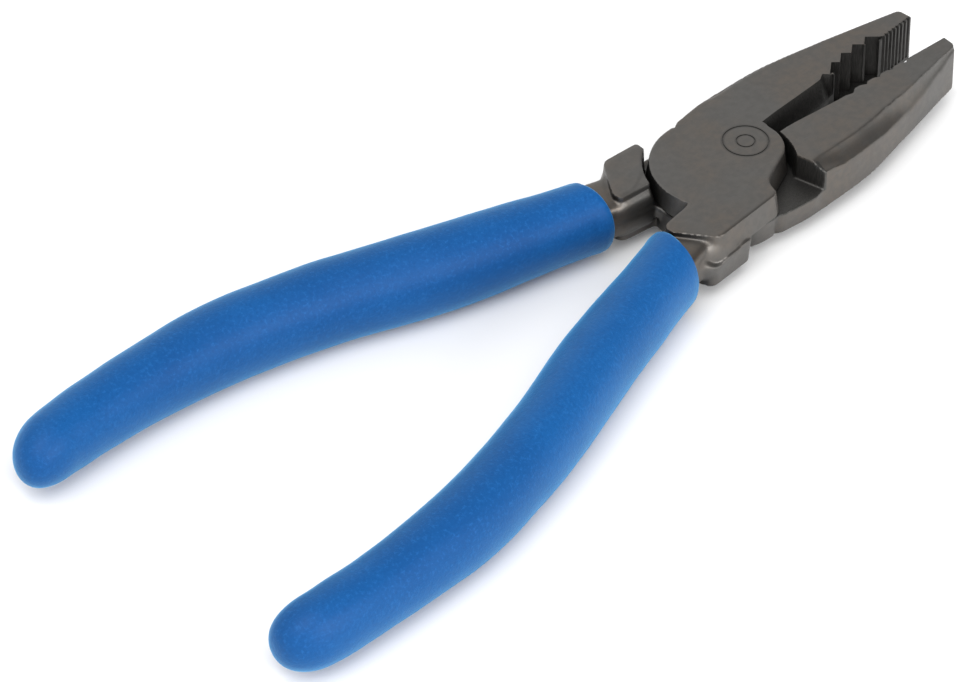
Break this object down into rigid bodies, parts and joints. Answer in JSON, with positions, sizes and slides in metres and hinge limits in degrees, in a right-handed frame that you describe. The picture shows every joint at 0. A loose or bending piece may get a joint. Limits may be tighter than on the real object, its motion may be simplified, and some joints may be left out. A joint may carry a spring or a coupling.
{
  "type": "combination pliers",
  "caption": "Combination pliers: half-lap riveted jaws with a flat serrated tip, an arched pipe grip and a wire cutter, and dip-coated handles.",
  "frame": {"origin": "on the rivet's axis, at the head's back face", "axes": "+X along the line midway between the jaws, towards their tips; +Z along the rivet, from the head's back face to its front face; +Y towards the front lever's jaw"},
  "size_m": [0.178, 0.0708, 0.0147],
  "materials": {
    "blackened_steel": "satin blackened, forged and ground",
    "rivet_steel": "ground flush and blackened with the head",
    "blue_dip_coating": "matte, finely mottled dip coating"
  },
  "bodies": {
    "back_lever": {"lever_back": "blackened_steel", "grip_back": "blue_dip_coating", "pivot_rivet": "rivet_steel"},
    "front_lever": {"lever_front": "blackened_steel", "grip_front": "blue_dip_coating"}
  },
  "joints": [
    {"name": "jaw_pivot", "type": "hinge", "parent": "back_lever", "child": "front_lever", "pos_m": [0, 0, 0], "axis": [0, 0, 1], "range_deg": [-8.3, 38]}
  ]
}
